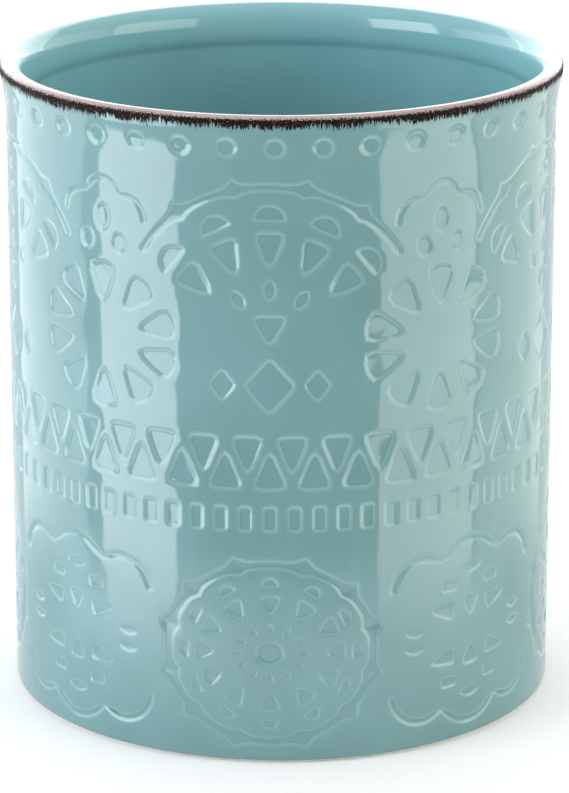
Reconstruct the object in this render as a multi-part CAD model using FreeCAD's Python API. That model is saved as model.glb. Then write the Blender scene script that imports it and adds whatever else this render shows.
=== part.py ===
import FreeCAD, Part
import math
import os

Vector = FreeCAD.Vector

# A stoneware utensil crock: a straight round wall with pressed relief, a flared rim and a bare foot ring.
# The origin is the centre of the foot, on the table, with +Z up. All sizes are in millimetres.
# The front of the relief faces -Y, and angles run from there towards +X.

# Overall sizes
HEIGHT = 184.0
WALL_DIAMETER = 156.4
WALL = 4.8
FLOOR = 6.0

# Foot
FOOT_RECESS = 2.5
FOOT_WIDTH = 6.0
BARE_FOOT = 1.3

# Rim: the wall flares outwards, the lip is rounded, and a bead thickens it on the inside
RIM_FLARE = 1.8
FLARE_HEIGHT = 8.0
LIP_ROUND = 2.2
LIP_FACETS = 2
BEAD = 1.0
BEAD_HEIGHT = 9.0
BEAD_RUNOUT = 2.5
INNER_CORNER = 4.0

# Fired-on coats
LINER = 0.5
BASE_GLAZE = 0.4
BAND_HEIGHT = 2.5
RELIEF_DEPTH = 0.8
GLAZE_UNDER_RELIEF = 0.4

# Relief pockets: how far each wall leans in, and how far a cutter stands out of the crock's wall
DRAFT = 0.6
CUTTER_CLEARANCE = 0.6

# Relief rows: height of each row and the plain wall under it, from the foot upwards.
# The plain wall takes up any change of the crock's height.
MEDALLION_ROW = 54.0
BAR_ROW = 7.0
ZIGZAG_ROW = 15.2
FAN_ROW = 68.2
GAP_UNDER_MEDALLIONS = 4.2
GAP_UNDER_BARS = 8.7
GAP_UNDER_ZIGZAG = 4.6
GAP_UNDER_FANS = 5.1
GAP_OVER_FANS = 11.0

# Relief rows: distance round the wall from one motif to the next, and the turn of the rows from the front
MEDALLION_PITCH = 61.4
BAR_PITCH = 6.824
ZIGZAG_PITCH = 12.28
FAN_PITCH = 49.1
FRONT_TURN = -2.3

# Upright bars, as long as their row is high
BAR_WIDTH = 3.6

# Zigzag of triangles, tip up and tip down in turn
ZIGZAG_WIDTH = 7.6
ZIGZAG_LENGTH = 11.4

# Fan: wedges spread about a small triangle, with a diamond under them
FAN_CENTRE = 21.4
FAN_WEDGES = 5
FAN_WEDGE_ANGLE = 25.5
FAN_WEDGE = (6.9, 7.9)
FAN_WEDGE_RADIUS = 26.4
FAN_HEART = (7.2, 7.2)
DIAMOND = (13.0, 14.2)
DIAMOND_DROP = 12.1

# Daisy between the fans, wider than tall
DAISY_CENTRE = 19.4
DAISY_PETALS = 10
DAISY_PETAL = (7.6, 9.4)
DAISY_RADIUS = 14.4
DAISY_STRETCH = 1.2

# Mandala of the lower row, wider than tall
MANDALA_WEDGES = 12
MANDALA_STRETCH = 1.13
MANDALA_WEDGE = (4.8, 4.8)
MANDALA_WEDGE_RADIUS = 14.2

# Cloud between the mandalas: a wedge up and a wedge down its middle
CLOUD_WEDGE = (5.4, 6.0)
CLOUD_WEDGE_RISE = 7.0

# Values worked out from those above
wall_radius = WALL_DIAMETER / 2
rim_radius = wall_radius + RIM_FLARE
coat = RELIEF_DEPTH + GLAZE_UNDER_RELIEF
clay_radius = wall_radius - coat
inside_radius = wall_radius - WALL
bead_radius = inside_radius - BEAD
foot_inner = clay_radius - FOOT_WIDTH
recess_top = FOOT_RECESS + BASE_GLAZE
floor_top = FOOT_RECESS + FLOOR
floor_seat = floor_top - LINER
lip_edge = HEIGHT - LIP_ROUND
bead_bottom = lip_edge - BEAD_HEIGHT
bead_end = bead_bottom - BEAD_RUNOUT
flare_start = lip_edge - FLARE_HEIGHT
band_bottom = lip_edge - BAND_HEIGHT


def wall_radius_at(height):
    """Radius of the outer wall at a height: straight, then flaring out to the rim."""
    rise = max(0.0, height - flare_start)
    return wall_radius + RIM_FLARE * rise / FLARE_HEIGHT


def wall_lean_at(height):
    """Angle by which the outer wall leans outwards at a height."""
    return math.atan2(RIM_FLARE, FLARE_HEIGHT) if height > flare_start else 0.0


band_radius = wall_radius_at(band_bottom)
lip_outer = rim_radius - LIP_ROUND
clay_top = HEIGHT - LINER
clay_lip = lip_outer + (clay_radius - lip_outer) * LINER / (HEIGHT - band_bottom)


def quarter_round(centre, reach, first):
    """Corners of a quarter round in a section, counter-clockwise from its first angle."""
    angles = [math.radians(first + 90 * step / LIP_FACETS) for step in range(LIP_FACETS + 1)]
    radius, height = centre
    return [(radius + reach * math.cos(angle), height + reach * math.sin(angle)) for angle in angles]


def turned(corners):
    """Solid of revolution about Z from the corners of a closed section."""
    points = [Vector(radius, 0, height) for radius, height in corners]
    section = Part.Face(Part.makePolygon(points + points[:1]))
    return section.revolve(Vector(0, 0, 0), Vector(0, 0, 1), 360)


def stoneware_body():
    """Fired clay: recessed base, bare foot ring, and the wall up to the glazed lip."""
    base = [(0, recess_top), (foot_inner, recess_top), (foot_inner, 0), (clay_radius, 0)]
    outside = [(clay_radius, band_bottom), (clay_lip, clay_top)]
    inside = [(inside_radius + LINER, clay_top), (inside_radius + LINER, floor_seat), (0, floor_seat)]
    return turned(base + outside + inside)


def liner_glaze():
    """Glaze inside: over the floor, up the wall, round the bead and over the lip to the dark band."""
    seat = [(0, floor_seat), (inside_radius + LINER, floor_seat), (inside_radius + LINER, clay_top)]
    lip = [(clay_lip, clay_top), (lip_outer, HEIGHT)]
    inner_lip = quarter_round((bead_radius + LIP_ROUND, lip_edge), LIP_ROUND, 90)
    bead = [(bead_radius, bead_bottom), (inside_radius, bead_end)]
    corner = [(inside_radius, floor_top + INNER_CORNER), (inside_radius - INNER_CORNER, floor_top)]
    return turned(seat + lip + inner_lip + bead + corner + [(0, floor_top)])


def rim_band():
    """Dark wash round the outer edge of the lip and a little way down the wall."""
    outer_lip = quarter_round((lip_outer, lip_edge), LIP_ROUND, 0)
    return turned([(clay_radius, band_bottom), (band_radius, band_bottom)] + outer_lip)


def base_glaze():
    """Glaze in the recess under the base, inside the bare foot ring."""
    return Part.makeCylinder(foot_inner, BASE_GLAZE, Vector(0, 0, FOOT_RECESS))


# Relief outlines: corners across and along a pocket, whose middle is the origin


def triangle(width, length):
    """Triangle with its tip down."""
    return [Vector(-width / 2, length / 2), Vector(0, -length / 2), Vector(width / 2, length / 2)]


def diamond(width, length):
    return [Vector(-width / 2, 0), Vector(0, -length / 2), Vector(width / 2, 0), Vector(0, length / 2)]


def bar(width, length):
    x, y = width / 2, length / 2
    return [Vector(-x, y), Vector(-x, -y), Vector(x, -y), Vector(x, y)]


def drawn_in(outline, distance, depth):
    """Outline moved in by a distance from each of its sides, or out if that is negative, at a depth."""
    corners = []
    for before, corner, after in zip(outline[-1:] + outline[:-1], outline, outline[1:] + outline[:1]):
        back = (before - corner).normalize()
        ahead = (after - corner).normalize()
        step = (back + ahead) * (distance / back.cross(ahead).Length)
        corners.append(corner + step - Vector(0, 0, depth))
    return corners


def pocket(outline, across, height, turn=0.0):
    """Cutter for one pocket: leaning walls and a flat floor, set square to the crock's wall.

    The place is the distance round the wall from the front and the height, and the turn is in radians.
    """
    mouth = drawn_in(outline, -DRAFT * CUTTER_CLEARANCE / RELIEF_DEPTH, -CUTTER_CLEARANCE)
    floor = drawn_in(outline, DRAFT, RELIEF_DEPTH)
    loops = list(zip(mouth, mouth[1:] + mouth[:1], floor[1:] + floor[:1], floor)) + [mouth, floor]
    faces = [Part.Face(Part.makePolygon([*loop, loop[0]])) for loop in loops]
    cutter = Part.Solid(Part.Shell(faces))
    angle = across / wall_radius + math.radians(FRONT_TURN)
    lean_out = wall_lean_at(height)
    radius = wall_radius_at(height)
    outward = Vector(math.sin(angle), -math.cos(angle), 0)
    along = Vector(math.cos(angle), math.sin(angle), 0)
    facing = outward * math.cos(lean_out) - Vector(0, 0, 1) * math.sin(lean_out)
    upward = facing.cross(along)
    square_on = FreeCAD.Rotation(along, upward, facing, "ZXY")
    seat = FreeCAD.Placement(outward * radius + Vector(0, 0, height), square_on)
    spin = FreeCAD.Placement(Vector(0, 0, 0), FreeCAD.Rotation(Vector(0, 0, 1), -math.degrees(turn)))
    cutter.Placement = seat.multiply(spin)
    return cutter


def on_rays(outline, across, height, radius, angles, stretch=1.0):
    """One pocket on each ray from a centre, with its tip towards the centre."""
    cutters = []
    for angle in angles:
        side = radius * stretch * math.sin(angle)
        rise = radius * math.cos(angle)
        turn = math.atan2(stretch * math.sin(angle), math.cos(angle))
        cutters.append(pocket(outline, across + side, height + rise, turn))
    return cutters


def full_circle(count):
    return [math.tau * step / count for step in range(count)]


def spread(count, step):
    """Angles of an odd number of rays, evenly to both sides of straight up."""
    return [math.radians(step) * (place - (count - 1) / 2) for place in range(count)]


def fan(across, foot):
    centre = foot + FAN_CENTRE
    rays = spread(FAN_WEDGES, FAN_WEDGE_ANGLE)
    cutters = on_rays(triangle(*FAN_WEDGE), across, centre, FAN_WEDGE_RADIUS, rays)
    cutters.append(pocket(triangle(*FAN_HEART), across, centre + FAN_HEART[1] / 2))
    cutters.append(pocket(diamond(*DIAMOND), across, centre - DIAMOND_DROP))
    return cutters


def daisy(across, foot):
    centre = foot + DAISY_CENTRE
    petals = full_circle(DAISY_PETALS)
    return on_rays(triangle(*DAISY_PETAL), across, centre, DAISY_RADIUS, petals, DAISY_STRETCH)


def mandala(across, centre):
    rays = full_circle(MANDALA_WEDGES)
    return on_rays(triangle(*MANDALA_WEDGE), across, centre, MANDALA_WEDGE_RADIUS, rays, MANDALA_STRETCH)


def cloud(across, centre):
    wedge = triangle(*CLOUD_WEDGE)
    upper = pocket(wedge, across, centre + CLOUD_WEDGE_RISE)
    lower = pocket(wedge, across, centre - CLOUD_WEDGE_RISE, math.pi)
    return [upper, lower]


def row_feet():
    """Height of each relief row's foot: the plain wall between the rows is shared out in proportion."""
    rows = (MEDALLION_ROW, BAR_ROW, ZIGZAG_ROW, FAN_ROW)
    gaps = (GAP_UNDER_MEDALLIONS, GAP_UNDER_BARS, GAP_UNDER_ZIGZAG, GAP_UNDER_FANS)
    plain = band_bottom - BARE_FOOT - sum(rows)
    share = plain / (sum(gaps) + GAP_OVER_FANS)
    feet = []
    height = BARE_FOOT
    for row, gap in zip(rows, gaps):
        height += gap * share
        feet.append(height)
        height += row
    return feet


def round_the_wall(pitch, kinds=1):
    """Places round the wall for the nearest whole number of motifs, in sets of so many kinds."""
    circumference = math.tau * wall_radius
    sets = max(1, round(circumference / (pitch * kinds)))
    step = circumference / (sets * kinds)
    return [step * place for place in range(sets * kinds)]


def relief():
    """Cutters for the whole ornament, row by row from the foot."""
    medallion_foot, bar_foot, zigzag_foot, fan_foot = row_feet()
    cutters = []
    for place, across in enumerate(round_the_wall(MEDALLION_PITCH, 2)):
        motif = cloud if place % 2 else mandala
        cutters += motif(across, medallion_foot + MEDALLION_ROW / 2)
    for across in round_the_wall(BAR_PITCH):
        cutters.append(pocket(bar(BAR_WIDTH, BAR_ROW), across, bar_foot + BAR_ROW / 2))
    for place, across in enumerate(round_the_wall(ZIGZAG_PITCH / 2, 2)):
        outline = triangle(ZIGZAG_WIDTH, ZIGZAG_LENGTH)
        if place % 2:
            cutters.append(pocket(outline, across, zigzag_foot + ZIGZAG_ROW - ZIGZAG_LENGTH / 2))
        else:
            cutters.append(pocket(outline, across, zigzag_foot + ZIGZAG_LENGTH / 2, math.pi))
    for place, across in enumerate(round_the_wall(FAN_PITCH, 2)):
        motif = daisy if place % 2 else fan
        cutters += motif(across, fan_foot)
    return cutters


def outer_glaze():
    """Glaze outside, from the bare foot to the dark rim, with the relief pressed into its face."""
    plain = turned([
        (clay_radius, BARE_FOOT),
        (wall_radius, BARE_FOOT),
        (wall_radius, flare_start),
        (band_radius, band_bottom),
        (clay_radius, band_bottom),
    ])
    return plain.cut(relief())


PIECES = (stoneware_body, outer_glaze, liner_glaze, rim_band, base_glaze)

os.makedirs("parts", exist_ok=True)
for piece in PIECES:
    shape = piece()
    solid = shape.Solids[0]
    print(piece.__name__, "solids", len(shape.Solids), "volume", round(solid.Volume / 1000, 1), "cm3")
    solid.exportStep(os.path.join("parts", piece.__name__ + ".step"))
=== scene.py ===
# %% [markdown]
# # A stoneware utensil crock
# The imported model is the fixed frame: five solids in metres, standing on the origin. Each one is a layer of
# the real crock, so each gets one finely made piece here that takes its place: the clay, the glaze outside
# with its pressed relief, the glaze inside, the dark wash on the rim and the glaze under the base.

# %% Load the frame
import math

import bmesh
import bpy
from mathutils import Matrix, Vector


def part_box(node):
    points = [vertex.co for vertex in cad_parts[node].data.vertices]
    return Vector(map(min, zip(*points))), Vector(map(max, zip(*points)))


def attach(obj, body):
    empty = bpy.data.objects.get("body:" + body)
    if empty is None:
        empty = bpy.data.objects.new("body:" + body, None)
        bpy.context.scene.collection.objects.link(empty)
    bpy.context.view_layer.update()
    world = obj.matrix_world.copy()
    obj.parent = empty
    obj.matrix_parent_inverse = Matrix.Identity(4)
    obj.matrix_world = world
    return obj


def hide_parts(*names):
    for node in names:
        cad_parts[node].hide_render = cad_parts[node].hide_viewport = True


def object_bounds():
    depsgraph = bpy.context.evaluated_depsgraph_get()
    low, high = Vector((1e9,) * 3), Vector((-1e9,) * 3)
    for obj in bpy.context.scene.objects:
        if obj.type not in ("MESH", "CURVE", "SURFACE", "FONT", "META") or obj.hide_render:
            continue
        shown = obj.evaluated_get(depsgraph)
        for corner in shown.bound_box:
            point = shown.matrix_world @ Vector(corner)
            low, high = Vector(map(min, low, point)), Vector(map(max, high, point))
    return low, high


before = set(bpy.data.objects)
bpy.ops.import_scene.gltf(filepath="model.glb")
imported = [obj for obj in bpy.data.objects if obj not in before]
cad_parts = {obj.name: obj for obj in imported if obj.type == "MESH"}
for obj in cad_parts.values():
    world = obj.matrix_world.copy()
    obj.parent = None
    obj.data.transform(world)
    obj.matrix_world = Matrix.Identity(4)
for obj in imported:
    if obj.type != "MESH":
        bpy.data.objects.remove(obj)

cad_low, cad_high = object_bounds()
print("nodes", sorted(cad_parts), "box", tuple(cad_low), tuple(cad_high))

# %% [markdown]
# Pottery is measured in millimetres, so every mesh below is made in millimetres and only scaled to metres
# when it is finished. The heights where one coat meets the next are read from the frame, so that each piece
# sits exactly where its solid is. The rim keeps a hair inside the solid's own box.

# %% Sizes from the frame
MM = 0.001
RIM_CLEARANCE = 0.02
FOOT_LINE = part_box("outer_glaze")[0].z / MM
BAND_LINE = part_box("outer_glaze")[1].z / MM
HEIGHT = cad_high.z / MM
RIM_RADIUS = min(cad_high.x, cad_high.y, -cad_low.x, -cad_low.y) / MM - RIM_CLEARANCE
print("foot line", round(FOOT_LINE, 2), "band line", round(BAND_LINE, 2), "rim radius", round(RIM_RADIUS, 2))

# %% [markdown]
# The camera stands a little over a metre in front of the crock and looks down on it by seventeen degrees,
# so the rim shows as a flat ellipse and the walls stay almost upright. These values come from fitting the
# ellipses of rim and foot.

# %% Camera
CAMERA_PLACE = (0.0, -1.0668, 0.4089)
CAMERA_TILT = 0.2967
CAMERA_LENS, SENSOR_WIDTH, FRAME_SHIFT = 174.15, 36.0, 0.0040
camera_data = bpy.data.cameras.new("camera")
camera_data.sensor_width = SENSOR_WIDTH
camera_data.lens = CAMERA_LENS
camera_data.shift_x = FRAME_SHIFT
camera = bpy.data.objects.new("camera", camera_data)
camera.location = CAMERA_PLACE
camera.rotation_euler = (math.pi / 2 - CAMERA_TILT, 0.0, 0.0)
bpy.context.collection.objects.link(camera)
bpy.context.scene.camera = camera
bpy.context.scene.view_settings.view_transform = "Standard"
print("camera", CAMERA_PLACE, "lens", CAMERA_LENS, "down by", round(math.degrees(CAMERA_TILT), 1), "degrees")

# %% [markdown]
# Colours are easiest to judge as the hex codes of a paint program, but a shader counts in linear light. One
# function makes the change. A second one adds a shader node, sets its properties and sockets and links it,
# so that each material below reads as a short list.


# %% Colour and node helpers
def linear(code):
    """Linear RGBA of an sRGB hex colour."""
    parts = [int(code[place:place + 2], 16) / 255 for place in (1, 3, 5)]
    return [p / 12.92 if p <= 0.04045 else ((p + 0.055) / 1.055) ** 2.4 for p in parts] + [1.0]


def add(tree, kind, sockets=(), **settings):
    """New shader node with its settings; sockets gives a value or another node's output per input."""
    node = tree.nodes.new("ShaderNode" + kind)
    for name, value in settings.items():
        setattr(node, name, value)
    for name, value in dict(sockets).items():
        if isinstance(value, bpy.types.NodeSocket):
            tree.links.new(value, node.inputs[name])
        else:
            node.inputs[name].default_value = value
    return node


def new_material(name):
    """Material whose node tree is empty."""
    material = bpy.data.materials.new(name)
    material.use_nodes = True
    material.node_tree.nodes.clear()
    return material, material.node_tree


print("mid grey is", round(linear("#808080")[0], 3))

# %% [markdown]
# The glaze is a glassy coat of turquoise over pale clay. A colour ramp lightens the slopes of each hollow and
# darkens a narrow band where a slope meets the floor. The lighter slopes are partly the glaze running thin
# over the edges, where the clay lightens it, and partly painted highlight; the darker band is partly glaze
# pooled in the crease and partly painted shade. The relief mesh carries a value that is 0 on the plain wall
# and 1 on the floor of a hollow, so the ramp can follow the carving exactly, which no pattern of noise could.
# Slow clouds of tone come from uneven spraying, and a slow bump lets reflections waver as they do on
# hand-finished ware.

# %% Turquoise glaze on the outside
GLAZE_TONE = "#6a9093"
GLAZE_IOR = 1.52
cloud_size, waver_size, waver_height = 28 * MM, 16 * MM, 0.10 * MM
outside_glaze, tree = new_material("turquoise_glaze")
place = add(tree, "TexCoord").outputs["Object"]
relief_value = add(tree, "Attribute", attribute_name="relief").outputs["Fac"]
# This ramp paints highlight on the slopes of each hollow and shade in the crease at its floor, over the real
# lightening where glaze runs thin and darkening where it pools.
break_and_painted_shading = add(tree, "ValToRGB", {"Fac": relief_value})
stops = break_and_painted_shading.color_ramp.elements
stops[0].color = linear(GLAZE_TONE)
stops[1].color = linear("#698f93")
for position, code in ((0.3, "#72989a"), (0.55, "#7a9fa1"), (0.76, "#759a9c"), (0.92, "#62888b")):
    stops.new(position).color = linear(code)
clouds = add(tree, "TexNoise", {"Vector": place, "Scale": 1 / cloud_size, "Detail": 3.0})
tone = add(tree, "MapRange", {"Value": clouds.outputs["Fac"], "From Min": 0.3, "From Max": 0.7,
                              "To Min": 0.94, "To Max": 1.06})
colour = add(tree, "VectorMath", {0: break_and_painted_shading.outputs["Color"], 1: tone.outputs["Result"]},
             operation="MULTIPLY")
waver = add(tree, "TexNoise", {"Vector": place, "Scale": 1 / waver_size, "Detail": 1.0})
waver_bump = add(tree, "Bump", {"Height": waver.outputs["Fac"], "Strength": 1.0, "Distance": waver_height})
gloss = add(tree, "BsdfPrincipled", {"Base Color": colour.outputs["Vector"], "Roughness": 0.07,
                                     "IOR": GLAZE_IOR, "Normal": waver_bump.outputs["Normal"]})
add(tree, "OutputMaterial", {"Surface": gloss.outputs["BSDF"]})
print("material", outside_glaze.name, "nodes", len(tree.nodes))

# %% [markdown]
# The same glaze lines the inside and runs over the lip, but its colour is painted lighter than outside:
# painted light that brightens the shaded inside. There is no carving there, so it only has the slow clouds
# and the wavering surface, both broader than outside.

# %% Turquoise glaze on the inside
cloud_size, waver_size, waver_height = 35 * MM, 18 * MM, 0.08 * MM
lightened_inside_glaze, tree = new_material("liner_glaze")
place = add(tree, "TexCoord").outputs["Object"]
clouds = add(tree, "TexNoise", {"Vector": place, "Scale": 1 / cloud_size, "Detail": 2.0})
shades = add(tree, "ValToRGB", {"Fac": clouds.outputs["Fac"]})
shades.color_ramp.elements[0].position = 0.3
# Both shades are painted lighter than the outside glaze's tone, as painted light on the shaded inside.
shades.color_ramp.elements[0].color = linear("#80b3ba")
shades.color_ramp.elements[1].position = 0.7
shades.color_ramp.elements[1].color = linear("#89bcc2")
waver = add(tree, "TexNoise", {"Vector": place, "Scale": 1 / waver_size, "Detail": 1.0})
waver_bump = add(tree, "Bump", {"Height": waver.outputs["Fac"], "Strength": 1.0, "Distance": waver_height})
gloss = add(tree, "BsdfPrincipled", {"Base Color": shades.outputs["Color"], "Roughness": 0.08,
                                     "IOR": GLAZE_IOR, "Normal": waver_bump.outputs["Normal"]})
add(tree, "OutputMaterial", {"Surface": gloss.outputs["BSDF"]})
print("material", lightened_inside_glaze.name, "nodes", len(tree.nodes))

# %% [markdown]
# Bare fired stoneware shows only at the foot: warm off-white, matt, with a fine sandy grain left by the
# wiping of the foot. The grain is finer than a pixel in life, so it is drawn at a millimetre.

# %% Bare stoneware
grain_size, grain_height = 1.0 * MM, 0.05 * MM
stoneware, tree = new_material("stoneware")
place = add(tree, "TexCoord").outputs["Object"]
grain = add(tree, "TexNoise", {"Vector": place, "Scale": 1 / grain_size, "Detail": 4.0})
shades = add(tree, "ValToRGB", {"Fac": grain.outputs["Fac"]})
shades.color_ramp.elements[0].position = 0.35
shades.color_ramp.elements[0].color = linear("#d8d0c4")
shades.color_ramp.elements[1].position = 0.65
shades.color_ramp.elements[1].color = linear("#ece6dc")
sand = add(tree, "Bump", {"Height": grain.outputs["Fac"], "Strength": 0.6, "Distance": grain_height})
matt = add(tree, "BsdfPrincipled", {"Base Color": shades.outputs["Color"], "Roughness": 0.75,
                                    "Normal": sand.outputs["Normal"]})
add(tree, "OutputMaterial", {"Surface": matt.outputs["BSDF"]})
print("material", stoneware.name, "nodes", len(tree.nodes))

# %% [markdown]
# The dark line on the rim is an iron wash, put on with a dry brush that is pulled down over the edge. It
# breaks into bristle marks below, with the glaze showing between them, and on top of the lip it is wiped so
# thin that it is a pinkish grey and the glaze under it shines again. Noise that is stretched along the
# height gives the bristles; a slower noise makes some strokes longer than others. How far the brush and the
# wiping reached are limits on the height. A painted picture could do it too, but noise needs no seam round
# the rim.

# %% Iron wash: where the brush left it
bristle_size, stroke_size, grit_size, wash_height = 0.36 * MM, 11 * MM, 0.4 * MM, 0.05 * MM
brush_low, brush_high = 179.8 * MM, 182.4 * MM
wipe_low, wipe_high = 182.7 * MM, 183.7 * MM
iron_wash, tree = new_material("iron_wash")
place = add(tree, "TexCoord").outputs["Object"]
bristle_place = add(tree, "Mapping", {"Vector": place, "Scale": (1.0, 1.0, 0.09)})
bristles = add(tree, "TexNoise", {"Vector": bristle_place.outputs["Vector"], "Scale": 1 / bristle_size,
                                  "Detail": 2.0, "Roughness": 0.6})
strokes = add(tree, "TexNoise", {"Vector": place, "Scale": 1 / stroke_size, "Detail": 3.0})
grit = add(tree, "TexNoise", {"Vector": place, "Scale": 1 / grit_size, "Detail": 2.0})
height = add(tree, "SeparateXYZ", {"Vector": place}).outputs["Z"]
brushed_down = add(tree, "MapRange", {"Value": height, "From Min": brush_low, "From Max": brush_high,
                                      "To Min": -0.46, "To Max": 0.46}, clamp=False)
reach = add(tree, "MapRange", {"Value": strokes.outputs["Fac"], "From Min": 0.3, "From Max": 0.7,
                               "To Min": -0.32, "To Max": 0.32})
spread = add(tree, "MapRange", {"Value": bristles.outputs["Fac"], "From Min": 0.25, "From Max": 0.75,
                                "To Min": -0.5, "To Max": 0.5}, clamp=False)
wet = add(tree, "Math", {0: brushed_down.outputs["Result"], 1: reach.outputs["Result"]}, operation="ADD")
cover = add(tree, "Math", {0: wet.outputs["Value"], 1: spread.outputs["Result"]}, operation="ADD")
mark = add(tree, "MapRange", {"Value": cover.outputs["Value"], "From Min": -0.08, "From Max": 0.08})
wiped_down = add(tree, "MapRange", {"Value": height, "From Min": wipe_low, "From Max": wipe_high,
                                    "To Min": -0.98, "To Max": -0.1})
wiped = add(tree, "Math", {0: grit.outputs["Fac"], 1: 2.0, 2: wiped_down.outputs["Result"]},
            operation="MULTIPLY_ADD")
thin = add(tree, "MapRange", {"Value": wiped.outputs["Value"], "From Min": 0.3, "From Max": 0.7})
print("brush marks end from", brush_low / MM, "to", brush_high / MM, "mm up")

# %% [markdown]
# The marks then set the finish. Where the wash is thick it is almost black, dry and matt, and a little
# proud of the glaze; where it is missing or wiped thin, the gloss of the glaze comes through.

# %% Iron wash: its finish
wash = add(tree, "ValToRGB", {"Fac": thin.outputs["Result"]})
wash.color_ramp.elements[0].color = linear("#1c1310")
wash.color_ramp.elements[1].color = linear("#b3a09f")
colour = add(tree, "Mix", {"Factor": mark.outputs["Result"], "A": linear(GLAZE_TONE),
                           "B": wash.outputs["Color"]}, data_type="RGBA")
left_on = add(tree, "MapRange", {"Value": thin.outputs["Result"], "To Min": 1.0, "To Max": 0.0})
dry = add(tree, "Math", {0: mark.outputs["Result"], 1: left_on.outputs["Result"]}, operation="MULTIPLY")
matting = add(tree, "MapRange", {"Value": dry.outputs["Value"], "To Min": 0.1, "To Max": 0.6})
shine = add(tree, "MapRange", {"Value": dry.outputs["Value"], "To Min": 0.5, "To Max": 0.05})
thick = add(tree, "Bump", {"Height": mark.outputs["Result"], "Strength": 0.4, "Distance": wash_height})
coat = add(tree, "BsdfPrincipled", {"Base Color": colour.outputs["Result"],
                                    "Roughness": matting.outputs["Result"],
                                    "Specular IOR Level": shine.outputs["Result"],
                                    "Normal": thick.outputs["Normal"]})
add(tree, "OutputMaterial", {"Surface": coat.outputs["BSDF"]})
print("material", iron_wash.name, "nodes", len(tree.nodes))

# %% [markdown]
# Every finished mesh goes through the same last steps: scaled to metres, its faces turned outwards and
# shaded smooth except over hard corners, made an object, hung on the frame's one body and set in the place
# of its solid. The corners where two coats meet are the hard ones: shaded smooth, they would show as a
# line.

# %% Finishing a piece
HARD_CORNER = math.radians(50)


def finish_piece(bm, name, node, material):
    """Makes a mesh in millimetres the piece that stands for a node of the frame."""
    bmesh.ops.scale(bm, vec=(MM, MM, MM), verts=bm.verts)
    bmesh.ops.recalc_face_normals(bm, faces=bm.faces)
    for face in bm.faces:
        face.smooth = True
    for edge in bm.edges:
        edge.smooth = edge.calc_face_angle(0.0) < HARD_CORNER
    open_edges = sum(not edge.is_manifold for edge in bm.edges)
    triangles = sum(len(face.verts) - 2 for face in bm.faces)
    mesh = bpy.data.meshes.new(name)
    bm.to_mesh(mesh)
    bm.free()
    mesh.materials.append(material)
    piece = bpy.data.objects.new(name, mesh)
    bpy.context.collection.objects.link(piece)
    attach(piece, "root")
    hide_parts(node)
    print(name, "triangles", triangles, "open edges", open_edges)
    return piece


# %% [markdown]
# The plain layers are thrown on a wheel in life, and here too: a few corner points of the section are spun
# once round the axis. The corners come out sharp, so the ring of edges at a corner is bevelled where the
# real one is round.

# %% Turning tools
RING_STEPS = 144
TOUCH = 0.001
ON_RING = 0.01


def turned(corners, closed=True):
    """Mesh spun from the corners of a section, given as radius and height."""
    bm = bmesh.new()
    verts = [bm.verts.new((0.0, radius, level)) for radius, level in corners]
    edges = [bm.edges.new(pair) for pair in zip(verts, verts[1:])]
    if closed:
        edges.append(bm.edges.new((verts[-1], verts[0])))
    bmesh.ops.spin(bm, geom=verts + edges, axis=(0, 0, 1), cent=(0, 0, 0), angle=math.tau,
                   steps=RING_STEPS, use_merge=True)
    bmesh.ops.remove_doubles(bm, verts=bm.verts, dist=TOUCH)
    bmesh.ops.recalc_face_normals(bm, faces=bm.faces)
    return bm


def round_ring(bm, corner, reach, segments):
    """Rounds the ring of edges at one corner of a turned section."""
    radius, level = corner

    def on_ring(vert):
        return abs(vert.co.z - level) < ON_RING and abs(vert.co.xy.length - radius) < ON_RING

    ring = [edge for edge in bm.edges if on_ring(edge.verts[0]) and on_ring(edge.verts[1])]
    bmesh.ops.bevel(bm, geom=ring, offset=reach, offset_type="OFFSET", segments=segments, profile=0.5,
                    affect="EDGES", clamp_overlap=True, material=-1)
    print("rounded ring at", [round(value, 2) for value in corner], "edges", len(ring))


print("a full turn has", RING_STEPS, "steps")

# %% [markdown]
# The clay body carries everything: a base with a shallow recess under it, a foot ring, the wall, and the
# top of the wall under the lip's glaze. Only the foot shows. The solid could stay as it is, but turned
# afresh it gets the two foot edges that are wiped round with a sponge.

# %% Clay body
CLAY_RADIUS, CLAY_INSIDE, CLAY_FLOOR = 77.0, 73.9, 8.0
FOOT_INSIDE, RECESS = 71.0, 2.9
lip_joint = (77.72, HEIGHT - 0.5)
clay_lip = [lip_joint, (75.6, HEIGHT - 0.8), (CLAY_INSIDE, HEIGHT - 3.0)]
foot_in, foot_out = (FOOT_INSIDE, 0.0), (CLAY_RADIUS, 0.0)
body = turned([(0.0, RECESS), (FOOT_INSIDE, RECESS), foot_in, foot_out, (CLAY_RADIUS, BAND_LINE), *clay_lip,
               (CLAY_INSIDE, CLAY_FLOOR), (0.0, CLAY_FLOOR)], closed=False)
round_ring(body, foot_in, reach=0.6, segments=3)
round_ring(body, foot_out, reach=0.5, segments=3)
finish_piece(body, "clay_body", "stoneware_body", stoneware)

# %% [markdown]
# The liner is one coat from the middle of the floor, round a soft inner corner, up the wall, over the
# thickened bead and across the lip to the dark wash. The lip is highest at its outer edge and falls away
# inwards in one long curve, which catches the lights along its far side; under the bead the section steps
# back, and that draws the dark line round the inside. Points set by hand would leave dents in the
# reflections, so the lip is a formula: a quarter of an ellipse with fuller shoulders.

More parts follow.
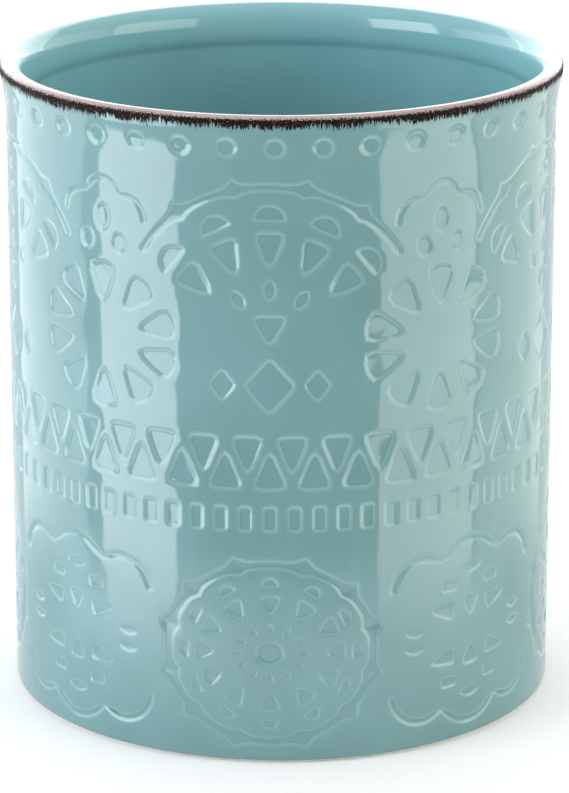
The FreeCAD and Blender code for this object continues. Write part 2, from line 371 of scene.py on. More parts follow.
# %% Glaze inside and over the lip
INSIDE_RADIUS, INSIDE_FLOOR = 73.4, CLAY_FLOOR + 0.5
LIP_EDGE = 77.8
LIP_WIDTH, LIP_FALL, LIP_STEPS = 5.4, 8.6, 12
SHOULDER = 2 / 2.4
lip = []
for step in range(LIP_STEPS + 1):
    angle = math.pi / 2 * step / LIP_STEPS
    inward = LIP_WIDTH * math.sin(angle) ** SHOULDER
    fall = LIP_FALL * (1 - max(0.0, math.cos(angle)) ** SHOULDER)
    lip.append((LIP_EDGE - inward, HEIGHT - fall))
bead_corner, bead_foot = (LIP_EDGE - LIP_WIDTH, 173.4), (INSIDE_RADIUS, 171.4)
floor_corner = (INSIDE_RADIUS, INSIDE_FLOOR)
liner = turned([(0.0, CLAY_FLOOR), (CLAY_INSIDE, CLAY_FLOOR), *reversed(clay_lip), *lip,
                bead_corner, bead_foot, floor_corner, (0.0, INSIDE_FLOOR)], closed=False)
round_ring(liner, bead_corner, reach=1.3, segments=4)
round_ring(liner, bead_foot, reach=0.7, segments=3)
round_ring(liner, floor_corner, reach=5.0, segments=8)
finish_piece(liner, "liner", "liner_glaze", lightened_inside_glaze)

# %% [markdown]
# The wash lies on the outer edge of the lip and a little way down the flare, where the wall curves out to
# the rim. It could be a mask in the glaze's material, but as a thin ring of its own it stays a separate
# coat. Its top corner is rounded to the lip; its bristle marks are in the material.

# %% Dark wash on the rim
WALL_RADIUS = 78.2
FLARE_START, FLARE_POWER = 169.8, 1.4
LIP_ROUND = 2.2


def flare_radius(level):
    """Radius of the outer wall: straight, then curving out to the rim."""
    rise = max(0.0, level - FLARE_START) / (HEIGHT - LIP_ROUND - FLARE_START)
    return WALL_RADIUS + (RIM_RADIUS - WALL_RADIUS) * min(rise, 1.0) ** FLARE_POWER


rim_corner = (RIM_RADIUS, HEIGHT)
flare_levels = (BAND_LINE, 180.6)
band = turned([(CLAY_RADIUS, BAND_LINE), *((flare_radius(level), level) for level in flare_levels),
               rim_corner, (LIP_EDGE, HEIGHT), lip_joint])
round_ring(band, rim_corner, reach=LIP_ROUND - 0.2, segments=8)
finish_piece(band, "rim_wash", "rim_band", iron_wash)

# %% [markdown]
# Under the base the recess is glazed up to the bare foot ring. A colour on the clay would do, but a thin
# disc with a soft edge shows where the coat ends.

# %% Glaze under the base
COAT_RADIUS, COAT_FACE = FOOT_INSIDE - 0.1, RECESS - 0.4
coat_edge = (COAT_RADIUS, COAT_FACE)
base = turned([(0.0, COAT_FACE), coat_edge, (COAT_RADIUS, RECESS), (0.0, RECESS)], closed=False)
round_ring(base, coat_edge, reach=0.3, segments=3)
finish_piece(base, "base_coat", "base_glaze", lightened_inside_glaze)

# %% [markdown]
# Now the relief. A bump in the material would be quicker, but it gives the hollows no real walls and leaves
# the edge of the crock smooth, so they are modelled. Every hollow of the ornament starts as a flat outline,
# like a stamp pressed in soft clay: a triangle, diamond, bar, disc or half moon is a circle of few or many
# sides, fitted to its size, with its corners rounded. The round corners run to a point again on the floor,
# because the walls of a hollow lean in by as much as the corners are rounded. The profile of a wall is
# given in steps: how far in, and how far down.

# %% Stamps: outlines
PROFILE = ((0.24, 0.01), (0.40, 0.06), (0.44, 0.13), (0.44, 0.15), (0.34, 0.11), (0.14, 0.01))
REACH = sum(step for step, drop in PROFILE)
DEPTH = sum(drop for step, drop in PROFILE)
SHARP_TIP = math.radians(55)
CORNER_ROOM = 0.46


def fit(row, verts, width, length):
    """Scales an outline about the origin to its width and length."""
    xs = [vert.co.x for vert in verts]
    ys = [vert.co.y for vert in verts]
    middle = Vector(((min(xs) + max(xs)) / 2, (min(ys) + max(ys)) / 2, 0.0))
    size = Vector((width / (max(xs) - min(xs)), length / (max(ys) - min(ys)), 1.0))
    bmesh.ops.translate(row, vec=-middle, verts=verts)
    bmesh.ops.scale(row, vec=size, verts=verts)


def soften(row, face, least, wide):
    """Rounds the corners of an outline; blunt corners may get a wider radius than sharp tips."""
    offsets = {}
    for loop in face.loops:
        angle = loop.calc_angle()
        radius = wide if angle > SHARP_TIP else least
        room = CORNER_ROOM * min(loop.edge.calc_length(), loop.link_loop_prev.edge.calc_length())
        offset = min(room, radius / math.tan(angle / 2))
        offsets.setdefault(round(offset, 2), []).append(loop.vert)
    for offset, corners in offsets.items():
        made = bmesh.ops.bevel(row, geom=corners, offset=offset, offset_type="OFFSET", segments=2,
                               profile=0.5, affect="VERTICES", clamp_overlap=True, material=-1)
        face = made["verts"][0].link_faces[0]
    return face


print("a hollow reaches in by", round(REACH, 2), "mm and down by", round(DEPTH, 2), "mm")

# %% [markdown]
# A kind of stamp is its number of sides and the turn of its first corner. Each one is carried to its place
# in the row and marked with how boldly it is cut: 1 is the full reach and depth, and small hollows are cut
# less.

# %% Stamps: one hollow
TRIANGLE, DIAMOND, BAR, DISC = (3, math.pi), (4, 0.0), (4, math.pi / 4), (14, 0.0)
MOON_SIDES = 20
MOON_CORNER = math.radians(120)
END_ROOM = 0.9


def press(row, face, place, turn, cut):
    """Turns an outline, carries it to its place in the row and marks how boldly it is cut."""
    spot = Matrix.Translation((place[0], place[1], 0.0)) @ Matrix.Rotation(-turn, 4, "Z")
    bmesh.ops.transform(row, matrix=spot, verts=face.verts)
    face[row.faces.layers.float["cut"]] = cut


def stamp(row, kind, size, place, turn=0.0, cut=1.0, wide=None):
    """One hollow: its outline has the kind's sides, its length lies along the turn."""
    sides, start = kind
    made = bmesh.ops.create_circle(row, cap_ends=True, segments=sides, radius=1.0,
                                   matrix=Matrix.Rotation(start, 4, "Z"))
    face = made["verts"][0].link_faces[0]
    fit(row, made["verts"], *size)
    if kind != DISC:
        least = REACH * cut
        face = soften(row, face, least, wide or least)
        fit(row, face.verts, *size)
    press(row, face, place, turn, cut)


def moon(row, size, place, turn=0.0, cut=1.0):
    """Half disc with its straight side inwards."""
    made = bmesh.ops.create_circle(row, cap_ends=True, segments=MOON_SIDES, radius=1.0)
    face = made["verts"][0].link_faces[0]
    geom = list(face.verts) + list(face.edges) + [face]
    bmesh.ops.bisect_plane(row, geom=geom, dist=TOUCH, plane_co=(0, 0, 0), plane_no=(0, 1, 0),
                           clear_inner=True)
    face = next(vert for vert in made["verts"] if vert.is_valid and vert.link_faces).link_faces[0]
    corners = [loop.vert for loop in face.loops if loop.calc_angle() < MOON_CORNER]
    offset = min(loop.edge.calc_length() for loop in face.loops) * END_ROOM
    made = bmesh.ops.bevel(row, geom=corners, offset=offset, offset_type="OFFSET", segments=2, profile=0.5,
                           affect="VERTICES", clamp_overlap=True, material=-1)
    face = made["verts"][0].link_faces[0]
    fit(row, face.verts, *size)
    press(row, face, place, turn, cut)


print("stamps have", TRIANGLE[0], DIAMOND[0], BAR[0], "or", DISC[0], "sides")

# %% [markdown]
# The outlines round fans and mandalas are grooves: a short edge swung through an arc leaves a strip of
# faces. Where the groove has a cusp, the two points of the strip there are pulled apart. Lobes are arcs
# that are joined end to end.

# %% Grooves
CUSP_OUT, CUSP_IN = 2.2, 1.1
CUSP_FADE = 175.0  # degrees to each side of a cusp, on a ring of one millimetre radius


def arc(row, centre, radius, start, end, steps, width, cut):
    """Strip of faces along an arc, and its end points; angles in degrees run clockwise from straight up."""
    before = set(row.faces)
    first = math.radians(start)
    direction = Vector((math.sin(first), math.cos(first), 0.0))
    ends = [row.verts.new(direction * (radius + side * width / 2)) for side in (-1, 1)]
    made = bmesh.ops.spin(row, geom=ends + [row.edges.new(ends)], axis=(0, 0, -1), cent=(0, 0, 0),
                          angle=math.radians(end - start), steps=steps, use_merge=end - start == 360)
    last = [item for item in made["geom_last"] if isinstance(item, bmesh.types.BMVert) and item.is_valid]
    last.sort(key=lambda vert: vert.co.length)
    strip = [face for face in row.faces if face not in before]
    verts = {vert for face in strip for vert in face.verts}
    bmesh.ops.translate(row, vec=(*centre, 0.0), verts=list(verts))
    for face in strip:
        face[row.faces.layers.float["groove"]] = cut
    return verts, ends, last


def round_ends(row, corners, width):
    """Rounds the open ends of a groove."""
    room = min(edge.calc_length() for vert in corners for edge in vert.link_edges)
    offset = min(CORNER_ROOM * width, END_ROOM * room)
    bmesh.ops.bevel(row, geom=corners, offset=offset, offset_type="OFFSET", segments=2, profile=0.5,
                    affect="VERTICES", clamp_overlap=True, material=-1)


def cusped_arc(row, centre, radius, start, end, steps, width, cut, cusps, stretch=1.0):
    """Groove along an arc or a full ring with cusps at some of its angles."""
    verts, first, last = arc(row, centre, radius, start, end, steps, width, cut)
    for vert in verts:
        offset = vert.co - Vector((*centre, 0.0))
        degrees = math.degrees(math.atan2(offset.x, offset.y))
        away = min(abs((degrees - cusp + 180) % 360 - 180) for cusp in cusps)
        pull = max(0.0, 1 - away * radius / CUSP_FADE)
        vert.co += offset.normalized() * pull * (CUSP_OUT if offset.length > radius else -CUSP_IN)
    if end - start < 360:
        round_ends(row, first + last, width)
    else:
        space = Matrix.Translation((-centre[0], -centre[1], 0.0))
        bmesh.ops.scale(row, vec=(stretch, 1.0, 1.0), space=space, verts=list(verts))


def lobes(row, arcs, width, cut):
    """Groove of several arcs, each given as centre, radius, start, end and steps, joined end to end."""
    made = [arc(row, *shape, width, cut) for shape in arcs]
    for (_, _, left), (_, right, _) in zip(made, made[1:]):
        for one, other in zip(left, right):
            bmesh.ops.pointmerge(row, verts=[one, other], merge_co=(one.co + other.co) / 2)
    round_ends(row, made[0][1] + made[-1][2], width)


print("cusps reach out by", CUSP_OUT, "mm and in by", CUSP_IN, "mm")

# %% [markdown]
# The motifs are drawn like a pattern book, each about its own centre in millimetres. Most of their hollows
# lie on rays from that centre with the tip inwards, so one helper finds the place and the turn on a ray. A
# hollow's size is its width and length. Daisies and mandalas are a little wider than tall.

# %% Motifs of the upper row
FAN_LEVEL, DAISY_LEVEL = 121.5, 119.4


def ray(centre, radius, degrees, stretch=1.0):
    """Place and turn on a ray, whose angle runs clockwise from straight up."""
    angle = math.radians(degrees)
    across, up = stretch * math.sin(angle), math.cos(angle)
    return (centre[0] + radius * across, centre[1] + radius * up), math.atan2(across, up)


def fan(row, x):
    """Fan of wedges and half moons over a diamond, inside a cusped outline."""
    centre = (x, FAN_LEVEL)
    heart, seed, wedge, half_moon = (10.0, 9.8), (5.0, 7.5), (9.5, 12.1), (10.6, 6.0)
    seed_ring, wedge_ring, moon_ring, outline_ring = 14.7, 25.6, 36.0, 43.0
    heart_level, outline_end, cusps = 125.0, 58.5, (-35.75, -13.0, 13.0, 35.75)
    stamp(row, TRIANGLE, heart, (x, heart_level), cut=0.85)
    for degrees in (-36, 0, 36):
        stamp(row, DIAMOND, seed, *ray(centre, seed_ring, degrees), cut=0.68, wide=2.2)
    for degrees in (-51, -25.5, 0, 25.5, 51):
        stamp(row, TRIANGLE, wedge, *ray(centre, wedge_ring, degrees))
        moon(row, half_moon, *ray(centre, moon_ring, degrees), cut=0.85)
    cusped_arc(row, centre, outline_ring, -outline_end, outline_end, steps=36, width=3.6, cut=0.78,
               cusps=cusps)
    diamond, side_diamond, diamond_level, aside = (15.5, 17.1), (8.6, 10.2), 109.4, 13.0
    stamp(row, DIAMOND, diamond, (x, diamond_level))
    for side in (-1, 1):
        stamp(row, DIAMOND, side_diamond, (x + side * aside, diamond_level), cut=0.8)


def daisy(row, x):
    """Ten petals, with a drop and two ovals over them under a three-lobed arch."""
    centre = (x, DAISY_LEVEL)
    petal, drop, oval = (9.6, 13.0), (6.8, 9.6), (6.4, 7.6)
    petals, petal_ring, petal_stretch = 10, 14.9, 1.2
    drop_level, oval_level, oval_aside = 152.6, 145.8, 5.5
    for place in range(petals):
        spot = ray(centre, petal_ring, 360 / petals * place, petal_stretch)
        stamp(row, TRIANGLE, petal, *spot, cut=0.85, wide=2.6)
    stamp(row, DIAMOND, drop, (x, drop_level), cut=0.9, wide=2.8)
    for side in (-1, 1):
        stamp(row, DISC, oval, (x + side * oval_aside, oval_level), cut=0.9)
    lobe, lobe_aside, lobe_level = 5.9, 7.9, 153.2
    top_lobe, top_level = 5.4, 157.9
    arch = [((x - lobe_aside, lobe_level), lobe, -105, 14, 7), ((x, top_level), top_lobe, -66, 66, 7),
            ((x + lobe_aside, lobe_level), lobe, -14, 105, 7)]
    lobes(row, arch, width=3.0, cut=0.62)


print("fans about", FAN_LEVEL, "mm up, daisies about", DAISY_LEVEL, "mm up")

# %% [markdown]
# The lower row has round medallions in the same way. The mandala is three rings of twelve hollows about a
# dimple. The cloud is the same left and right and above and below, so a sign mirrors each of its hollows.

# %% Motifs of the lower row
MEDALLION_LEVEL = 32.5


def mandala(row, x):
    """Rings of seeds, wedges and half moons about a dimple, inside a scalloped outline."""
    centre = (x, MEDALLION_LEVEL)
    dimple, seed, wedge, half_moon = (9.6, 9.0), (2.6, 3.8), (6.4, 6.6), (5.8, 3.8)
    seed_ring, wedge_ring, moon_ring, outline_ring = 7.2, 14.0, 20.8, 25.9
    seed_stretch, wedge_stretch, moon_stretch, outline_stretch = 1.29, 1.31, 1.17, 1.126
    spokes, quarter = 12, (18, 48, 75)
    stamp(row, DISC, dimple, centre)
    for spoke in range(spokes):
        degrees = 360 / spokes * spoke
        stamp(row, DIAMOND, seed, *ray(centre, seed_ring, degrees, seed_stretch), cut=0.42)
        stamp(row, TRIANGLE, wedge, *ray(centre, wedge_ring, degrees, wedge_stretch), cut=0.62)
        moon(row, half_moon, *ray(centre, moon_ring, degrees, moon_stretch), cut=0.6)
    cusps = [turn * half + flip for turn in quarter for half in (-1, 1) for flip in (0, 180)]
    cusped_arc(row, centre, outline_ring, 0, 360, steps=120, width=3.8, cut=0.78, cusps=cusps,
               stretch=outline_stretch)


def cloud(row, x):
    """Wedges and leaves inside an outline of three lobes above and three below."""
    wedge, leaf, block, petal, lens = (6.6, 7.4), (9.2, 4.4), (6.4, 4.2), (5.8, 9.4), (3.9, 7.4)
    wedge_place, leaf_place = (0.0, 7.2), (0.0, 18.6)
    block_place, petal_place, lens_place = (8.0, 14.2), (10.4, 7.2), (19.5, 2.5)

    def mirrored(place, side, end):
        """A place in the upper right quarter, carried to another quarter by the two signs."""
        return x + side * place[0], MEDALLION_LEVEL + end * place[1]

    for end in (-1, 1):
        upright = 0.0 if end > 0 else math.pi
        stamp(row, TRIANGLE, wedge, mirrored(wedge_place, 1, end), upright, cut=0.65)
        stamp(row, DIAMOND, leaf, mirrored(leaf_place, 1, end), cut=0.6, wide=2.6)
        for side in (-1, 1):
            stamp(row, BAR, block, mirrored(block_place, side, end), cut=0.6)
            lean = math.radians(-side * (90 + end * 10))
            stamp(row, TRIANGLE, petal, mirrored(petal_place, side, end), lean, cut=0.65)
            stamp(row, DIAMOND, lens, mirrored(lens_place, side, end), math.pi / 2, cut=0.6, wide=2.0)
    lobe, aside, top_lobe, lift = 9.2, 17.5, 11.9, 0.3
    high, low = MEDALLION_LEVEL + 14.8, MEDALLION_LEVEL - 14.8
    above = [((x - aside, high), lobe, -92, 38, 9), ((x, high + lift), top_lobe, -53, 53, 10),
             ((x + aside, high), lobe, -38, 92, 9)]
    below = [((x + aside, low), lobe, 88, 218, 9), ((x, low - lift), top_lobe, 127, 233, 10),
             ((x - aside, low), lobe, 142, 272, 9)]
    for outline in (above, below):
        lobes(row, outline, width=3.6, cut=0.76)


print("medallions about", MEDALLION_LEVEL, "mm up")

# %% [markdown]
# A row of stamps has to become one closed band with no seam. The trick is to lay the row out as a flat
# ring, like a paper collar: round the wall becomes round the ring, and up the wall becomes outwards. Then
# one fill closes the ring round all the outlines, straight cuts through the centre divide it every two and
# a half degrees, so that it can bend, and last it is rolled up to the cylinder.

# %% Rows
CIRCUMFERENCE = math.tau * WALL_RADIUS
FRONT_TURN = math.radians(-2.3)


def slice_plain(row, hollows, point, normal):
    """Cuts the plain faces of a row along a plane, with the outlines of the hollows but not through them."""
    plain = [face for face in row.faces if face not in hollows]
    edges = [edge for edge in row.edges if not hollows.issuperset(edge.link_faces)]
    geom = plain + edges + row.verts[:]
    bmesh.ops.bisect_plane(row, geom=geom, dist=TOUCH, plane_co=point, plane_no=normal)


def lay_row(wall, low, high, draw, levels=()):
    """Draws a row between two heights, fills it, rolls it up and adds it to the wall."""
    row = bmesh.new()
    row.faces.layers.float.new("cut")
    row.faces.layers.float.new("groove")
    draw(row)
    middle = (low + high) / 2
    for vert in row.verts:
        angle = vert.co.x / WALL_RADIUS + FRONT_TURN
        reach = WALL_RADIUS + vert.co.y - middle
        vert.co = (reach * math.sin(angle), -reach * math.cos(angle), 0.0)
    hollows = set(row.faces)
    for level in (low, high):
        bmesh.ops.create_circle(row, segments=RING_STEPS, radius=WALL_RADIUS + level - middle)
    outlines = [edge for edge in row.edges if len(edge.link_faces) < 2]
    bmesh.ops.triangle_fill(row, edges=outlines, use_beauty=True, normal=(0, 0, 1))
    area = sum(face.calc_area() for face in row.faces)
    ring = math.pi * ((WALL_RADIUS + high - middle) ** 2 - (WALL_RADIUS + low - middle) ** 2)
    for step in range(RING_STEPS // 2):
        angle = math.tau * step / RING_STEPS
        slice_plain(row, hollows, (0, 0, 0), (math.cos(angle), math.sin(angle), 0))
    for vert in row.verts:
        angle = math.atan2(vert.co.x, -vert.co.y)
        level = middle + vert.co.length - WALL_RADIUS
        vert.co = (WALL_RADIUS * math.sin(angle), -WALL_RADIUS * math.cos(angle), level)
    for level in levels:
        slice_plain(row, hollows, (0, 0, level), (0, 0, 1))
    finished = bpy.data.meshes.new("row")
    row.to_mesh(finished)
    row.free()
    wall.from_mesh(finished)
    bpy.data.meshes.remove(finished)
    filled = round(area / ring, 4)
    print("row", round(low, 1), "to", round(high, 1), "hollows", len(hollows), "filled", filled)


def round_the_wall(count):
    """Places at an even pitch round the wall, from the front."""
    return [CIRCUMFERENCE * place / count for place in range(count)]


print("once round the wall is", round(CIRCUMFERENCE, 1), "mm")

# %% [markdown]
# From the foot upwards the wall has a row of mandalas and clouds, a row of bars, a zigzag of triangles, the
# row of fans and daisies, and a row of dots in the flare under the rim. Each row is drawn by a short
# function that steps round the wall at its own pitch.

# %% The five rows
MEDALLIONS, BARS, ZIGZAGS, FANS, DOTS = 8, 72, 80, 10, 38


def medallion_row(row):
    """Mandalas and clouds in turn."""
    for place, x in enumerate(round_the_wall(MEDALLIONS)):
        (cloud if place % 2 else mandala)(row, x)


def bar_row(row):
    """Upright bars."""
    bar, bar_level = (5.3, 8.6), 71.5
    for x in round_the_wall(BARS):
        stamp(row, BAR, bar, (x, bar_level), cut=0.8)


def zigzag_row(row):
    """Triangles that point up and down in turn."""
    pointing_down, down_level = (9.8, 12.6), 89.7
    pointing_up, up_level = (10.4, 12.8), 85.4
    for place, x in enumerate(round_the_wall(ZIGZAGS)):
        if place % 2:
            stamp(row, TRIANGLE, pointing_down, (x, down_level), cut=0.95)
        else:
            stamp(row, TRIANGLE, pointing_up, (x, up_level), math.pi, cut=0.95)


def fan_row(row):
    """Fans and daisies in turn."""
    for place, x in enumerate(round_the_wall(FANS)):
        (daisy if place % 2 else fan)(row, x)


def dot_row(row):
    """Dots, set a little aside from the middle of the fans."""
    dot, dot_level, aside = (7.2, 7.2), 175.2, 1.4
    for x in round_the_wall(DOTS):
        stamp(row, DISC, dot, (x + aside, dot_level), cut=0.95)


print("round the wall:", MEDALLIONS, "medallions", BARS, "bars", ZIGZAGS, "triangles", DOTS, "dots")

# %% [markdown]
# The rows are laid one over the other and their edges merged. The lowest one starts where the glaze rolls
# in at the foot. The dot row gets level cuts as well, because the wall curves outwards there.

# %% Lay the rows
FOOT_ROUND = 0.7
GLAZE_LOW = FOOT_LINE - 0.5
GLAZE_FOOT = GLAZE_LOW + FOOT_ROUND + 0.1
MEDALLION_TOP, BAR_TOP, ZIGZAG_TOP = 66.3, 77.2, 97.7
FLARE_CUTS = (171.2, 172.6, 174.0, 175.4, 176.8, 178.1)
SEAM = 0.005
wall = bmesh.new()
wall.faces.layers.float.new("cut")
wall.faces.layers.float.new("groove")
lay_row(wall, GLAZE_FOOT, MEDALLION_TOP, medallion_row)
lay_row(wall, MEDALLION_TOP, BAR_TOP, bar_row)
lay_row(wall, BAR_TOP, ZIGZAG_TOP, zigzag_row)
lay_row(wall, ZIGZAG_TOP, FLARE_START, fan_row)
lay_row(wall, FLARE_START, BAND_LINE, dot_row, levels=FLARE_CUTS)
bmesh.ops.remove_doubles(wall, verts=wall.verts, dist=SEAM)
print("wall so far: verts", len(wall.verts), "faces", len(wall.faces))

# %% [markdown]
# Each hollow is still flat. It is drawn inwards and pushed down in small steps: hardly at first, so that
# the wall round it stays smooth, then over a soft shoulder, down a slope, and out on a flat floor. A stamp
# is one face and is inset by itself; a groove is a strip that is inset as one region. Every face has to
# look outwards first, as a face is pushed down against its own normal. Edges that are too short to be drawn
# in any further are collapsed first, or their ends would cross. Each new ring of points remembers how far
# in it lies, for the glaze colour.

# %% Press the hollows
SHORT_EDGE = 0.34
cut_layer = wall.faces.layers.float["cut"]
groove_layer = wall.faces.layers.float["groove"]
relief_layer = wall.verts.layers.float.new("relief")


def by_cut(layer):
    """Faces that are floors of hollows, by how boldly they are cut."""
    found = {}
    for face in wall.faces:
        if face[layer] > 0:
            found.setdefault(round(face[layer], 2), []).append(face)
    return found


def short_edges():
    """Outline edges of the floors that are too short for the next step, in the mesh's own order."""
    short = {edge for cut, faces in by_cut(cut_layer).items() for face in faces for edge in face.edges
             if edge.calc_length() < SHORT_EDGE * cut}
    for cut, faces in by_cut(groove_layer).items():
        floor = set(faces)
        short |= {edge for face in faces for edge in face.edges
                  if not floor.issuperset(edge.link_faces) and edge.calc_length() < SHORT_EDGE * cut}
    return [edge for edge in wall.edges if edge in short]


bmesh.ops.recalc_face_normals(wall, faces=wall.faces)
sample = next(iter(wall.faces))
if sample.normal.dot(sample.calc_center_median() * Vector((1, 1, 0))) < 0:
    bmesh.ops.reverse_faces(wall, faces=wall.faces)
inwards = 0.0
for step, drop in PROFILE:
    inwards += step / REACH
    short = short_edges()
    bmesh.ops.collapse(wall, edges=short)
    for inset, layer in ((bmesh.ops.inset_individual, cut_layer), (bmesh.ops.inset_region, groove_layer)):
        for cut, faces in by_cut(layer).items():
            made = inset(wall, faces=faces, thickness=step * cut, depth=-drop * cut, use_even_offset=True)
            for face in made["faces"]:
                face[layer] = 0.0
            for face in faces:
                for vert in face.verts:
                    vert[relief_layer] = inwards
    print("step", step, "in and", drop, "down; collapsed", len(short), "edges")
floors = [face for layer in (cut_layer, groove_layer) for faces in by_cut(layer).values() for face in faces]
bmesh.ops.triangulate(wall, faces=floors)
print("hollows pressed:", len(floors))

# %% [markdown]
# Last the band is bent out to the flare and closed to a coat: the lower edge rolls in to the clay in a
# quarter round, the inner face runs up the clay, and the top edge meets the wash. Extruding the open edge
# and setting the new ring to its radius and height does each step.


# %% Close the coat
def next_ring(bm, loop, radius, level):
    """Extrudes an open loop of edges to a new radius and height and returns the new loop."""
    made = bmesh.ops.extrude_edge_only(bm, edges=loop)["geom"]
    for vert in [item for item in made if isinstance(item, bmesh.types.BMVert)]:
        outward = vert.co.xy.normalized() * radius
        vert.co = (outward.x, outward.y, level)
    return [item for item in made if isinstance(item, bmesh.types.BMEdge) and item.is_boundary]


for vert in wall.verts:
    shift = flare_radius(vert.co.z) - WALL_RADIUS
    vert.co.xy += vert.co.xy.normalized() * shift
loop = [edge for edge in wall.edges if edge.is_boundary and edge.verts[0].co.z < GLAZE_FOOT + ON_RING]
for degrees in (30, 60, 90):
    roll = math.radians(degrees)
    level = GLAZE_LOW + FOOT_ROUND * (1 - math.sin(roll))
    loop = next_ring(wall, loop, WALL_RADIUS - FOOT_ROUND * (1 - math.cos(roll)), level)
for level in (GLAZE_LOW, BAND_LINE):
    loop = next_ring(wall, loop, CLAY_RADIUS, level)
top = [edge for edge in wall.edges if edge.is_boundary and edge not in set(loop)]
bmesh.ops.bridge_loops(wall, edges=loop + top)
finish_piece(wall, "relief_glaze", "outer_glaze", outside_glaze)

# %% [markdown]
# The table is a plain white floor. In the mirror image that the glaze shows, the floor glows though it is no
# lamp: a painted reflection of a bright table, strongest in front of the crock to the left and right, and
# dimmer close to the foot. It ends a hand's length away: rays that left the glaze pass through the floor
# there, so that the tall lights beside the table show in the wall above.

# %% The table in the glaze
floor_material, tree = new_material("white_floor")
path = add(tree, "LightPath")
place = add(tree, "TexCoord").outputs["Object"]
away = add(tree, "VectorMath", {0: place}, operation="LENGTH")
beyond = add(tree, "MapRange", {"Value": away.outputs["Value"], "From Min": 0.16, "From Max": 0.25})
hidden = add(tree, "Math", {0: beyond.outputs["Result"], 1: path.outputs["Is Glossy Ray"]},
             operation="MULTIPLY")
across = add(tree, "SeparateXYZ", {"Vector": place})
left = add(tree, "MapRange", {"Value": across.outputs["X"], "From Min": -0.15, "From Max": 0.0,
                              "To Min": 2.8, "To Max": 0.9})
right = add(tree, "MapRange", {"Value": across.outputs["X"], "From Min": 0.0, "From Max": 0.15,
                               "To Max": 0.9})
sides = add(tree, "Math", {0: left.outputs["Result"], 1: right.outputs["Result"]}, operation="ADD")
front = add(tree, "MapRange", {"Value": across.outputs["Y"], "From Min": -0.10, "From Max": 0.0,
                               "To Min": 1.0, "To Max": 0.0})
painted_glow_falloff = add(tree, "MapRange", {"Value": away.outputs["Value"], "From Min": 0.09, "From Max": 0.17,
                                    "To Min": 0.2, "To Max": 1.0})
# This is the painted reflection: a glow on the floor that only mirror rays from the glaze see, stronger to
# the left and right in front and weaker by the foot.
painted_glow_in_front = add(tree, "Math", {0: sides.outputs["Value"], 1: front.outputs["Result"]}, operation="MULTIPLY")
mirrored = add(tree, "Math", {0: painted_glow_in_front.outputs["Value"], 1: painted_glow_falloff.outputs["Result"]},
               operation="MULTIPLY")
print("mirror image of the table: nodes", len(tree.nodes))

# %% [markdown]
# The camera sees a plain floor with the crock's shadow, which runs out to full white where the lights no
# longer reach.

# %% Floor
FLOOR_RADIUS = 4.0
far = add(tree, "MapRange", {"Value": away.outputs["Value"], "From Min": 0.4, "From Max": 1.0,
                             "To Min": 0.1, "To Max": 1.0})
seen = add(tree, "Math", {0: path.outputs["Is Camera Ray"], 1: far.outputs["Result"]}, operation="MULTIPLY")
# Mirror rays get the painted glow; the camera gets the white that grows away from the crock.
lift = add(tree, "Math", {0: path.outputs["Is Glossy Ray"], 1: mirrored.outputs["Value"],
                          2: seen.outputs["Value"]}, operation="MULTIPLY_ADD")
paper = add(tree, "BsdfDiffuse", {"Color": linear("#f6f4f4")})
glow = add(tree, "Emission", {"Color": linear("#ecf6ff"), "Strength": lift.outputs["Value"]})
white = add(tree, "AddShader", {0: paper.outputs["BSDF"], 1: glow.outputs["Emission"]})
clear = add(tree, "BsdfTransparent")
blend = add(tree, "MixShader", {0: hidden.outputs["Value"], 1: white.outputs["Shader"],
                                2: clear.outputs["BSDF"]})
add(tree, "OutputMaterial", {"Surface": blend.outputs["Shader"]})
floor_shape = bmesh.new()
bmesh.ops.create_circle(floor_shape, cap_ends=True, segments=64, radius=FLOOR_RADIUS)
floor_mesh = bpy.data.meshes.new("floor")
floor_shape.to_mesh(floor_mesh)
floor_shape.free()
floor_mesh.materials.append(floor_material)
floor = bpy.data.objects.new("floor", floor_mesh)
bpy.context.collection.objects.link(floor)
print("floor radius", FLOOR_RADIUS, "m")

# %% [markdown]
# A tall soft light stands to each side, the left one stronger and a little cooler, with a dimmer card
# behind it that lights the edge of the wall, and a broad light hangs behind and above. Each is set by its
# brightness as seen in a mirror, because that is what the glaze shows: the power that an area light needs
# is that brightness times its area and pi.

# %% Lights
COOL, WARM = "#f4faff", "#fdfff2"
LIGHT_DISTANCE, CARD_DISTANCE = 1.3, 1.6


def soft_light(name, azimuth, distance, width, low, high, brightness, tint="#ffffff"):
    """Upright soft light that faces the crock; azimuth runs from the front towards +X."""
    data = bpy.data.lights.new(name, "AREA")
    data.shape = "RECTANGLE"
    data.size, data.size_y = width, high - low
    data.energy = brightness * width * (high - low) * math.pi
    data.color = linear(tint)[:3]
    lamp = bpy.data.objects.new(name, data)
    angle = math.radians(azimuth)
    lamp.location = (distance * math.sin(angle), -distance * math.cos(angle), (low + high) / 2)
    lamp.rotation_euler = (math.pi / 2, 0.0, angle)
    lamp.visible_camera = False
    bpy.context.collection.objects.link(lamp)
    print(name, "power", round(data.energy, 1))
    return lamp


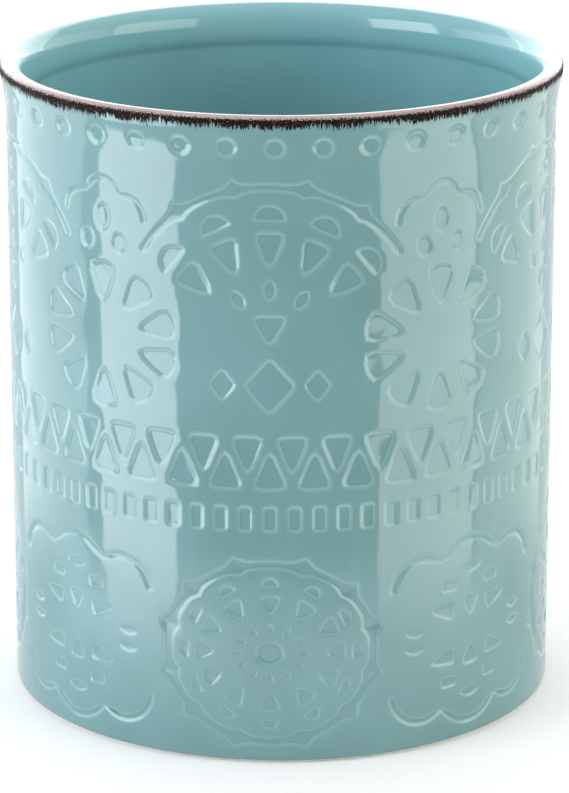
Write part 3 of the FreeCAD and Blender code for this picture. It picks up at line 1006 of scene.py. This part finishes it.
soft_light("left_light", -61, LIGHT_DISTANCE, width=0.84, low=-0.50, high=0.95, brightness=5.4, tint=COOL)
soft_light("right_light", 63, LIGHT_DISTANCE, width=1.10, low=-0.60, high=0.95, brightness=3.0, tint=WARM)
soft_light("left_card", -115, CARD_DISTANCE, width=1.6, low=-0.75, high=0.90, brightness=1.6, tint=COOL)
soft_light("right_card", 115, CARD_DISTANCE, width=1.6, low=-0.75, high=0.90, brightness=0.95, tint=WARM)
soft_light("back_light", 180, LIGHT_DISTANCE, width=2.4, low=0.25, high=1.2, brightness=1.9)

# %% [markdown]
# The room round the table is white. The camera sees it at full white; as light on the crock it only fills
# the shadows. It is darker towards the front, where the unlit side of the room is, and in the mirror image
# on the glaze this gives the deeper band of colour down the middle of the wall.

# %% World
world = bpy.data.worlds.new("white_room")
bpy.context.scene.world = world
world.use_nodes = True
tree = world.node_tree
tree.nodes.clear()
path = add(tree, "LightPath")
mirror = add(tree, "Math", {0: path.outputs["Is Glossy Ray"], 1: path.outputs["Is Transmission Ray"]},
             operation="MAXIMUM")
seen = add(tree, "Math", {0: path.outputs["Is Camera Ray"], 1: mirror.outputs["Value"]}, operation="MAXIMUM")
level = add(tree, "MapRange", {"Value": seen.outputs["Value"], "To Min": 0.8, "To Max": 1.0})
direction = add(tree, "TexCoord").outputs["Generated"]
forward = add(tree, "VectorMath", {0: direction, 1: (0.2, -0.98, 0.0)}, operation="DOT_PRODUCT")
shade = add(tree, "MapRange", {"Value": forward.outputs["Value"], "From Min": 0.3, "From Max": 0.95,
                               "To Min": 1.0, "To Max": 0.35})
dim = add(tree, "Math", {0: level.outputs["Result"], 1: shade.outputs["Result"]}, operation="MULTIPLY")
light = add(tree, "Math", {0: dim.outputs["Value"], 1: path.outputs["Is Camera Ray"]}, operation="MAXIMUM")
room = add(tree, "Background", {"Color": linear("#ffffff"), "Strength": light.outputs["Value"]})
add(tree, "OutputWorld", {"Surface": room.outputs["Background"]})
print("world", world.name, "nodes", len(tree.nodes))
